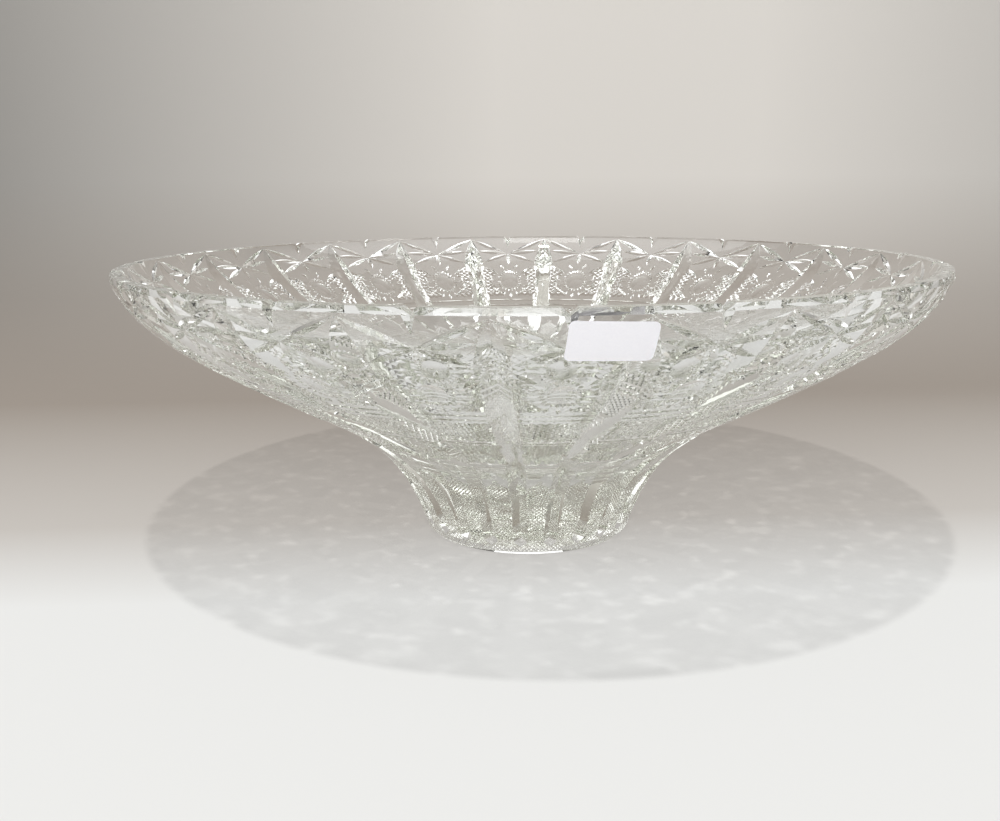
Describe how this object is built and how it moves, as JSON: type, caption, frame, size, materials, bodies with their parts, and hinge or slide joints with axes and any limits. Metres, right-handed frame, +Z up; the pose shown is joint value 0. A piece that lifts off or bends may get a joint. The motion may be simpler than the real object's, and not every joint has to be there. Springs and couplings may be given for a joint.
{
  "type": "centerpiece bowl",
  "caption": "Wide flared cut-glass centerpiece bowl with a notched rim, star and round-eye cutting, long V splits and a fluted foot, for fruit or flowers.",
  "frame": {"origin": "centre of the ring that the foot stands on, at the bottom of the part", "axes": "+Z up along the bowl's axis, -Y towards the front of the picture, through one of the rim's notches"},
  "size_m": [0.3548, 0.3548, 0.124],
  "materials": {
    "crystal": "cut and polished",
    "label_paper": "smooth white"
  },
  "bodies": {
    "root": {"glass_bowl": "crystal", "paper_label": "label_paper"}
  },
  "joints": []
}
